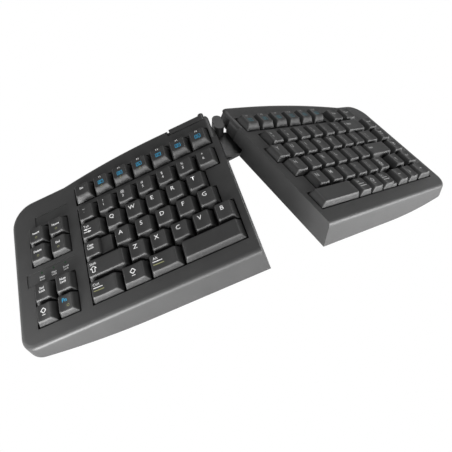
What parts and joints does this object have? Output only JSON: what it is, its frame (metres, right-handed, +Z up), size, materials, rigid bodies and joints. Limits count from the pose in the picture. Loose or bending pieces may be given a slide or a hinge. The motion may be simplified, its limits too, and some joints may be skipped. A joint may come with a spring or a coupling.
{
  "type": "ergonomic split keyboard",
  "caption": "Split computer keyboard: two tilted, spread halves on a locking centre hinge, with stepped key wells, tapered dished keycaps and flared front faces.",
  "frame": {"origin": "centre of the bounding box at table level, in the pose of the picture", "axes": "+X to the typist's right along the width, +Y away from the typist, +Z up"},
  "size_m": [0.4288, 0.1772, 0.0901],
  "materials": {
    "housing": "fine matte grain",
    "keycap": "fine matte grain",
    "chassis": "plain moulded",
    "rubber": "matte",
    "film": "clear film",
    "steel": "zinc plated",
    "hinge_metal": "black",
    "lens": "smoky",
    "board": "solder mask"
  },
  "bodies": {
    "left_half": {"left_top_cover": "housing", "left_bottom_cover": "housing", "left_key_chassis": "chassis", "left_dome_sheet": "rubber", "left_membrane": "film", "left_backing_plate": "steel", "left_feet": "rubber", "left_hinge_bracket": "hinge_metal", "left_tilt_pin": "steel", "indicator_lenses": "lens", "lever_pin": "steel"},
    "left_leaf": {"left_hinge_leaf": "hinge_metal", "pivot_pin": "steel"},
    "right_leaf": {"right_hinge_leaf": "hinge_metal"},
    "right_half": {"right_top_cover": "housing", "right_bottom_cover": "housing", "right_key_chassis": "chassis", "right_dome_sheet": "rubber", "right_membrane": "film", "right_backing_plate": "steel", "right_feet": "rubber", "right_hinge_bracket": "hinge_metal", "right_tilt_pin": "steel", "controller_board": "board"},
    "lever": {"lock_lever": "housing"},
    "shoe": {"brake_shoe": "steel"},
    "escape_key_body": {"escape_key": "keycap"},
    "left_function_keys_body": {"left_function_keys": "keycap"},
    "left_number_keys_body": {"left_number_keys": "keycap"},
    "tab_key_body": {"tab_key": "keycap"},
    "left_upper_letter_keys_body": {"left_upper_letter_keys": "keycap"},
    "caps_lock_key_body": {"caps_lock_key": "keycap"},
    "left_home_letter_keys_body": {"left_home_letter_keys": "keycap"},
    "left_shift_key_body": {"left_shift_key": "keycap"},
    "left_lower_letter_keys_body": {"left_lower_letter_keys": "keycap"},
    "left_control_key_body": {"left_control_key": "keycap"},
    "system_key_body": {"system_key": "keycap"},
    "left_alt_key_body": {"left_alt_key": "keycap"},
    "left_space_bar_body": {"left_space_bar": "keycap"},
    "editing_keys_body": {"editing_keys": "keycap"},
    "lock_keys_body": {"lock_keys": "keycap"},
    "right_function_keys_body": {"right_function_keys": "keycap"},
    "screen_keys_body": {"screen_keys": "keycap"},
    "right_number_keys_body": {"right_number_keys": "keycap"},
    "backspace_key_body": {"backspace_key": "keycap"},
    "right_upper_letter_keys_body": {"right_upper_letter_keys": "keycap"},
    "backslash_key_body": {"backslash_key": "keycap"},
    "right_home_letter_keys_body": {"right_home_letter_keys": "keycap"},
    "enter_key_body": {"enter_key": "keycap"},
    "right_lower_letter_keys_body": {"right_lower_letter_keys": "keycap"},
    "right_shift_key_body": {"right_shift_key": "keycap"},
    "right_space_bar_body": {"right_space_bar": "keycap"},
    "right_modifier_keys_body": {"right_modifier_keys": "keycap"},
    "arrow_keys_body": {"arrow_keys": "keycap"},
    "navigation_keys_body": {"navigation_keys": "keycap"}
  },
  "joints": [
    {"name": "left_tilt", "type": "hinge", "parent": "left_half", "child": "left_leaf", "pos_m": [-0.01198, 0.057, 0.06759], "axis": [0.1616, 0.9869, 0], "range_deg": [-22, 8]},
    {"name": "spread", "type": "hinge", "parent": "left_leaf", "child": "right_leaf", "pos_m": [0.00184, 0.05473, 0.06759], "axis": [0, 0, 1], "range_deg": [-18.6, 11.4]},
    {"name": "right_tilt", "type": "hinge", "parent": "right_leaf", "child": "right_half", "pos_m": [0.01566, 0.057, 0.06759], "axis": [-0.1616, 0.9869, 0], "range_deg": [-22, 8]},
    {"name": "lever_lift", "type": "hinge", "parent": "left_half", "child": "lever", "pos_m": [-0.0105, 0.06638, 0.08374], "axis": [0.1616, 0.9869, 0], "range_deg": [0, 60]},
    {"name": "shoe_slide", "type": "slide", "parent": "left_half", "child": "shoe", "axis": [-0.3697, 0.0605, 0.9272], "range_m": [0, 0.0002]},
    {"name": "escape_key_press", "type": "slide", "parent": "left_half", "child": "escape_key_body", "axis": [0.3697, -0.0605, -0.9272], "range_m": [0, 0.0035], "stiffness_N_per_m": 160, "deforming": ["left_dome_sheet"]},
    {"name": "left_function_keys_press", "type": "slide", "parent": "left_half", "child": "left_function_keys_body", "axis": [0.3697, -0.0605, -0.9272], "range_m": [0, 0.0035], "stiffness_N_per_m": 960},
    {"name": "left_number_keys_press", "type": "slide", "parent": "left_half", "child": "left_number_keys_body", "axis": [0.3697, -0.0605, -0.9272], "range_m": [0, 0.0035], "stiffness_N_per_m": 1120},
    {"name": "tab_key_press", "type": "slide", "parent": "left_half", "child": "tab_key_body", "axis": [0.3697, -0.0605, -0.9272], "range_m": [0, 0.0035], "stiffness_N_per_m": 160},
    {"name": "left_upper_letter_keys_press", "type": "slide", "parent": "left_half", "child": "left_upper_letter_keys_body", "axis": [0.3697, -0.0605, -0.9272], "range_m": [0, 0.0035], "stiffness_N_per_m": 800},
    {"name": "caps_lock_key_press", "type": "slide", "parent": "left_half", "child": "caps_lock_key_body", "axis": [0.3697, -0.0605, -0.9272], "range_m": [0, 0.0035], "stiffness_N_per_m": 160},
    {"name": "left_home_letter_keys_press", "type": "slide", "parent": "left_half", "child": "left_home_letter_keys_body", "axis": [0.3697, -0.0605, -0.9272], "range_m": [0, 0.0035], "stiffness_N_per_m": 800},
    {"name": "left_shift_key_press", "type": "slide", "parent": "left_half", "child": "left_shift_key_body", "axis": [0.3697, -0.0605, -0.9272], "range_m": [0, 0.0035], "stiffness_N_per_m": 160},
    {"name": "left_lower_letter_keys_press", "type": "slide", "parent": "left_half", "child": "left_lower_letter_keys_body", "axis": [0.3697, -0.0605, -0.9272], "range_m": [0, 0.0035], "stiffness_N_per_m": 800},
    {"name": "left_control_key_press", "type": "slide", "parent": "left_half", "child": "left_control_key_body", "axis": [0.3697, -0.0605, -0.9272], "range_m": [0, 0.0035], "stiffness_N_per_m": 160},
    {"name": "system_key_press", "type": "slide", "parent": "left_half", "child": "system_key_body", "axis": [0.3697, -0.0605, -0.9272], "range_m": [0, 0.0035], "stiffness_N_per_m": 160},
    {"name": "left_alt_key_press", "type": "slide", "parent": "left_half", "child": "left_alt_key_body", "axis": [0.3697, -0.0605, -0.9272], "range_m": [0, 0.0035], "stiffness_N_per_m": 160},
    {"name": "left_space_bar_press", "type": "slide", "parent": "left_half", "child": "left_space_bar_body", "axis": [0.3697, -0.0605, -0.9272], "range_m": [0, 0.0035], "stiffness_N_per_m": 240},
    {"name": "editing_keys_press", "type": "slide", "parent": "left_half", "child": "editing_keys_body", "axis": [0.3697, -0.0605, -0.9272], "range_m": [0, 0.0035], "stiffness_N_per_m": 640},
    {"name": "lock_keys_press", "type": "slide", "parent": "left_half", "child": "lock_keys_body", "axis": [0.3697, -0.0605, -0.9272], "range_m": [0, 0.0035], "stiffness_N_per_m": 640},
    {"name": "right_function_keys_press", "type": "slide", "parent": "right_half", "child": "right_function_keys_body", "axis": [-0.3697, -0.0605, -0.9272], "range_m": [0, 0.0035], "stiffness_N_per_m": 960, "deforming": ["right_dome_sheet"]},
    {"name": "screen_keys_press", "type": "slide", "parent": "right_half", "child": "screen_keys_body", "axis": [-0.3697, -0.0605, -0.9272], "range_m": [0, 0.0035], "stiffness_N_per_m": 320},
    {"name": "right_number_keys_press", "type": "slide", "parent": "right_half", "child": "right_number_keys_body", "axis": [-0.3697, -0.0605, -0.9272], "range_m": [0, 0.0035], "stiffness_N_per_m": 960},
    {"name": "backspace_key_press", "type": "slide", "parent": "right_half", "child": "backspace_key_body", "axis": [-0.3697, -0.0605, -0.9272], "range_m": [0, 0.0035], "stiffness_N_per_m": 240},
    {"name": "right_upper_letter_keys_press", "type": "slide", "parent": "right_half", "child": "right_upper_letter_keys_body", "axis": [-0.3697, -0.0605, -0.9272], "range_m": [0, 0.0035], "stiffness_N_per_m": 1120},
    {"name": "backslash_key_press", "type": "slide", "parent": "right_half", "child": "backslash_key_body", "axis": [-0.3697, -0.0605, -0.9272], "range_m": [0, 0.0035], "stiffness_N_per_m": 160},
    {"name": "right_home_letter_keys_press", "type": "slide", "parent": "right_half", "child": "right_home_letter_keys_body", "axis": [-0.3697, -0.0605, -0.9272], "range_m": [0, 0.0035], "stiffness_N_per_m": 960},
    {"name": "enter_key_press", "type": "slide", "parent": "right_half", "child": "enter_key_body", "axis": [-0.3697, -0.0605, -0.9272], "range_m": [0, 0.0035], "stiffness_N_per_m": 160},
    {"name": "right_lower_letter_keys_press", "type": "slide", "parent": "right_half", "child": "right_lower_letter_keys_body", "axis": [-0.3697, -0.0605, -0.9272], "range_m": [0, 0.0035], "stiffness_N_per_m": 800},
    {"name": "right_shift_key_press", "type": "slide", "parent": "right_half", "child": "right_shift_key_body", "axis": [-0.3697, -0.0605, -0.9272], "range_m": [0, 0.0035], "stiffness_N_per_m": 160},
    {"name": "right_space_bar_press", "type": "slide", "parent": "right_half", "child": "right_space_bar_body", "axis": [-0.3697, -0.0605, -0.9272], "range_m": [0, 0.0035], "stiffness_N_per_m": 240},
    {"name": "right_modifier_keys_press", "type": "slide", "parent": "right_half", "child": "right_modifier_keys_body", "axis": [-0.3697, -0.0605, -0.9272], "range_m": [0, 0.0035], "stiffness_N_per_m": 480},
    {"name": "arrow_keys_press", "type": "slide", "parent": "right_half", "child": "arrow_keys_body", "axis": [-0.3697, -0.0605, -0.9272], "range_m": [0, 0.0035], "stiffness_N_per_m": 640},
    {"name": "navigation_keys_press", "type": "slide", "parent": "right_half", "child": "navigation_keys_body", "axis": [-0.3697, -0.0605, -0.9272], "range_m": [0, 0.0035], "stiffness_N_per_m": 640}
  ],
  "couplings": [
    {"joint": "shoe_slide", "follows": "lever_lift", "m_per_rad": 0.00018144}
  ]
}
